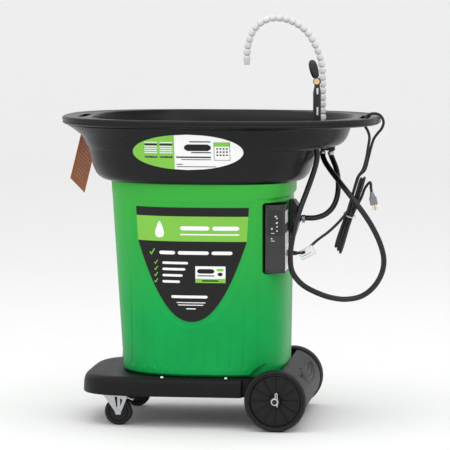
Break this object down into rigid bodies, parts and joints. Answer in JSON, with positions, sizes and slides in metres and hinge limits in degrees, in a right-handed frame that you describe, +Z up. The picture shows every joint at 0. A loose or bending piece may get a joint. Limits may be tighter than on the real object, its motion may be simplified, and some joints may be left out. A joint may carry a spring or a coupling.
{
  "type": "mobile parts washer tank",
  "caption": "Mobile parts washer: oval sink with bead-chain spout and brush on a fluid tank, on a dolly with large wheels and casters.",
  "frame": {"origin": "on the floor, under the middle of the sink's rim", "axes": "+X to the end with the large wheels and the hoses, -Y to the front with the labels, +Z up"},
  "size_m": [0.9566, 0.624, 1.183],
  "materials": {
    "moulded_black": "fine satin",
    "moulded_green": "satin",
    "dark_grey": "satin",
    "zinc": "zinc plated",
    "bright_steel": "polished",
    "label_white": "gloss film",
    "label_lime": "gloss film",
    "tyre_rubber": "moulded tread",
    "wheel_plastic": "satin",
    "bead_plastic": "semi-gloss",
    "hose_rubber": "smooth",
    "grip_rubber": "satin",
    "bristle": "bristle tuft",
    "brass": "turned",
    "felt": "fibre mat",
    "board_green": "solder mask",
    "card": "printed card",
    "plug_grey": "moulded",
    "white_plastic": "gloss"
  },
  "bodies": {
    "washer": {"dolly_base": "moulded_black", "rear_axle": "zinc", "axle_spacers": "white_plastic", "wheel_retainers": "bright_steel", "caster_plates": "zinc", "tank_shell": "moulded_green", "tank_rivets": "white_plastic", "drain_plug": "moulded_black", "sink_basin": "moulded_black", "sink_label": "label_white", "tank_label": "label_lime", "mat_support_grid": "dark_grey", "hose_manifold": "moulded_black", "brush_grommet": "grip_rubber", "supply_port": "moulded_black", "hose_clamps": "zinc", "control_box_case": "moulded_black", "control_box_cover": "dark_grey", "cover_gasket": "grip_rubber", "cover_screws": "zinc", "keypad_panel": "dark_grey", "status_lights": "white_plastic", "circuit_board": "board_green", "cord_gland": "moulded_black", "pump_body": "moulded_black", "pump_strainer": "dark_grey", "pump_riser_hose": "hose_rubber", "heater_element": "bright_steel", "float_stem": "bright_steel", "supply_hose": "hose_rubber", "brush_hose": "hose_rubber", "power_cord": "hose_rubber", "cord_hank": "hose_rubber", "cord_tie": "white_plastic", "plug_body": "plug_grey", "plug_blades": "brass", "cord_tag": "white_plastic"},
    "near_wheel": {"near_wheel_tyre": "tyre_rubber", "near_wheel_hub": "wheel_plastic"},
    "far_wheel": {"far_wheel_tyre": "tyre_rubber", "far_wheel_hub": "wheel_plastic"},
    "near_fork": {"near_caster_fork": "zinc"},
    "near_roller": {"near_caster_wheel": "wheel_plastic"},
    "near_brake": {"near_caster_brake": "zinc"},
    "far_fork": {"far_caster_fork": "zinc"},
    "far_roller": {"far_caster_wheel": "wheel_plastic"},
    "tray": {"false_bottom": "moulded_black"},
    "filter": {"filter_mat": "felt"},
    "float": {"level_float": "white_plastic"},
    "spout_base": {"nozzle_base": "bead_plastic"},
    "spout_lower": {"nozzle_lower": "bead_plastic"},
    "spout_middle": {"nozzle_middle": "bead_plastic"},
    "spout_upper": {"nozzle_upper": "bead_plastic"},
    "spout_tip": {"nozzle_tip": "bead_plastic"},
    "brush": {"brush_handle": "grip_rubber", "brush_nut": "brass", "brush_head": "bristle"},
    "power_key": {"power_button": "white_plastic"},
    "mode_key": {"mode_button": "white_plastic"},
    "tag": {"hang_tag": "card"}
  },
  "joints": [
    {"name": "near_wheel_spin", "type": "hinge", "parent": "washer", "child": "near_wheel", "pos_m": [0.186, -0.27, 0.089], "axis": [0, 1, 0], "continuous": true},
    {"name": "far_wheel_spin", "type": "hinge", "parent": "washer", "child": "far_wheel", "pos_m": [0.186, 0.27, 0.089], "axis": [0, 1, 0], "continuous": true},
    {"name": "near_caster_swivel", "type": "hinge", "parent": "washer", "child": "near_fork", "pos_m": [-0.304, -0.185, 0.1], "axis": [0, 0, 1], "continuous": true},
    {"name": "far_caster_swivel", "type": "hinge", "parent": "washer", "child": "far_fork", "pos_m": [-0.304, 0.185, 0.1], "axis": [0, 0, 1], "continuous": true},
    {"name": "near_caster_roll", "type": "hinge", "parent": "near_fork", "child": "near_roller", "pos_m": [-0.279, -0.185, 0.04], "axis": [0, 1, 0], "continuous": true},
    {"name": "far_caster_roll", "type": "hinge", "parent": "far_fork", "child": "far_roller", "pos_m": [-0.279, 0.185, 0.04], "axis": [0, 1, 0], "continuous": true},
    {"name": "brake_press", "type": "hinge", "parent": "near_fork", "child": "near_brake", "pos_m": [-0.259, -0.185, 0.084], "axis": [0, 1, 0], "range_deg": [0, 20]},
    {"name": "tray_lift", "type": "slide", "parent": "washer", "child": "tray", "axis": [0, 0, 1], "range_m": [0, 0.12]},
    {"name": "filter_lift", "type": "slide", "parent": "washer", "child": "filter", "axis": [0, 0, 1], "range_m": [0, 0.06]},
    {"name": "float_rise", "type": "slide", "parent": "washer", "child": "float", "axis": [0, 0, 1], "range_m": [0, 0.06]},
    {"name": "spout_swivel", "type": "hinge", "parent": "washer", "child": "spout_base", "pos_m": [0.292, 0.04, 0.82], "axis": [0, 0, 1], "range_deg": [-75, 75]},
    {"name": "spout_lower_bend", "type": "hinge", "parent": "spout_base", "child": "spout_lower", "pos_m": [0.292, 0.04, 1.0152], "axis": [0, 1, 0], "range_deg": [-10, 10]},
    {"name": "spout_middle_bend", "type": "hinge", "parent": "spout_lower", "child": "spout_middle", "pos_m": [0.25228, 0.04, 1.12429], "axis": [0, 1, 0], "range_deg": [-10, 10]},
    {"name": "spout_upper_bend", "type": "hinge", "parent": "spout_middle", "child": "spout_upper", "pos_m": [0.16949, 0.04, 1.17209], "axis": [0, 1, 0], "range_deg": [-10, 10]},
    {"name": "spout_tip_bend", "type": "hinge", "parent": "spout_upper", "child": "spout_tip", "pos_m": [0.07823, 0.04, 1.11506], "axis": [0, 1, 0], "range_deg": [-10, 10]},
    {"name": "brush_lift", "type": "slide", "parent": "washer", "child": "brush", "axis": [0, 0, 1], "range_m": [0, 0.05]},
    {"name": "power_press", "type": "slide", "parent": "washer", "child": "power_key", "axis": [0, 1, 0], "range_m": [0, 0.0015], "stiffness_N_per_m": 400},
    {"name": "mode_press", "type": "slide", "parent": "washer", "child": "mode_key", "axis": [0, 1, 0], "range_m": [0, 0.0015], "stiffness_N_per_m": 400},
    {"name": "tag_swing", "type": "hinge", "parent": "washer", "child": "tag", "pos_m": [-0.431, 0.15, 0.85], "axis": [0.9511, -0.309, 0], "range_deg": [-20, 20]}
  ],
  "couplings": [
    {"joint": "filter_lift", "follows": "tray_lift", "ratio": 0.5}
  ]
}
